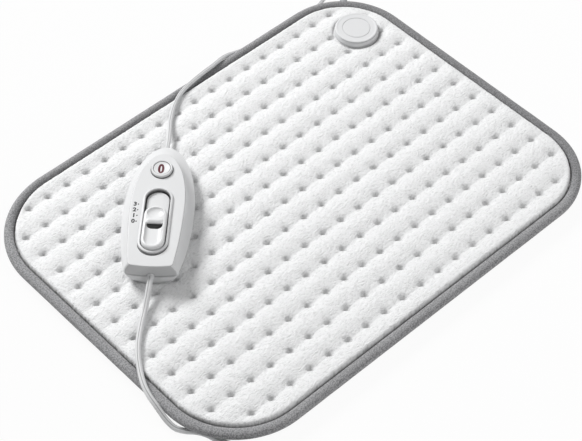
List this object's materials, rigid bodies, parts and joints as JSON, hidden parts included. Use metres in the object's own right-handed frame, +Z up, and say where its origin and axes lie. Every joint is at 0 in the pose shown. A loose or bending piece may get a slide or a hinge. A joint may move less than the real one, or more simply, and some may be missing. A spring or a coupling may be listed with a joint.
{
  "type": "heating pad with controller",
  "caption": "Quilted fleece heating pad with a bound edge, a round junction cap, and a hand controller with a slide switch and an off button on its mains lead.",
  "frame": {"origin": "centre of the pad's underside, on the surface that it lies on", "axes": "+X along the pad's long side, +Y across it towards the side that the pad lead crosses, +Z up"},
  "size_m": [0.5246, 0.4171, 0.044],
  "materials": {
    "fleece": "deep-pile white fleece, quilted with sewn dimples",
    "cotton": "plain woven white cotton",
    "wadding": "white polyester wadding",
    "carrier": "off-white non-woven",
    "tape": "mid-grey folded jersey tape",
    "shell": "light grey-white moulded plastic, satin",
    "knob": "white moulded plastic, satin",
    "disc": "light grey moulded plastic, satin",
    "jacket": "light grey PVC, smooth",
    "boot": "mid-grey soft PVC",
    "insulation": "tan wire insulation",
    "board": "green circuit board",
    "black_plastic": "black moulded plastic",
    "resistor": "lacquered ceramic",
    "steel": "plated steel",
    "brass": "spring brass",
    "glass": "clear glass tube with metal caps"
  },
  "bodies": {
    "pad_and_housing": {"cotton_bottom_cover": "cotton", "wadding_layer": "wadding", "heater_carrier": "carrier", "heating_wire": "insulation", "fleece_top_cover": "fleece", "edge_binding": "tape", "junction_cap": "disc", "junction_base": "disc", "junction_clamp_plate": "disc", "terminal_block": "black_plastic", "pad_thermal_fuse": "steel", "lead_conductor_live": "insulation", "lead_conductor_neutral": "insulation", "pad_lead_gland": "boot", "upper_shell": "shell", "lower_shell": "shell", "switch_housing": "black_plastic", "button_spring": "steel", "tact_switch": "black_plastic", "circuit_board": "board", "suppression_capacitor": "black_plastic", "dropper_resistor": "resistor", "mains_fuse": "glass", "triac": "black_plastic", "mains_strain_relief": "jacket", "lead_strain_relief": "jacket", "housing_screw_1": "steel", "housing_screw_2": "steel", "housing_screw_3": "steel", "housing_screw_4": "steel", "pad_lead": "jacket", "mains_lead": "jacket", "mains_lead_coil": "jacket", "coil_tie": "black_plastic", "mains_lead_tail": "jacket", "plug_strain_relief": "jacket", "plug_body": "jacket", "plug_pin_1": "steel", "plug_pin_2": "steel"},
    "slider": {"slide_knob": "knob", "slider_carriage": "black_plastic", "switch_wiper": "brass"},
    "button": {"off_button": "knob"}
  },
  "joints": [
    {"name": "slide_setting", "type": "slide", "parent": "pad_and_housing", "child": "slider", "axis": [0.7145, 0.6997, 0], "range_m": [0, 0.0184]},
    {"name": "off_press", "type": "slide", "parent": "pad_and_housing", "child": "button", "axis": [0, 0, -1], "range_m": [0, 0.0012], "stiffness_N_per_m": 800, "deforming": ["button_spring"]}
  ]
}
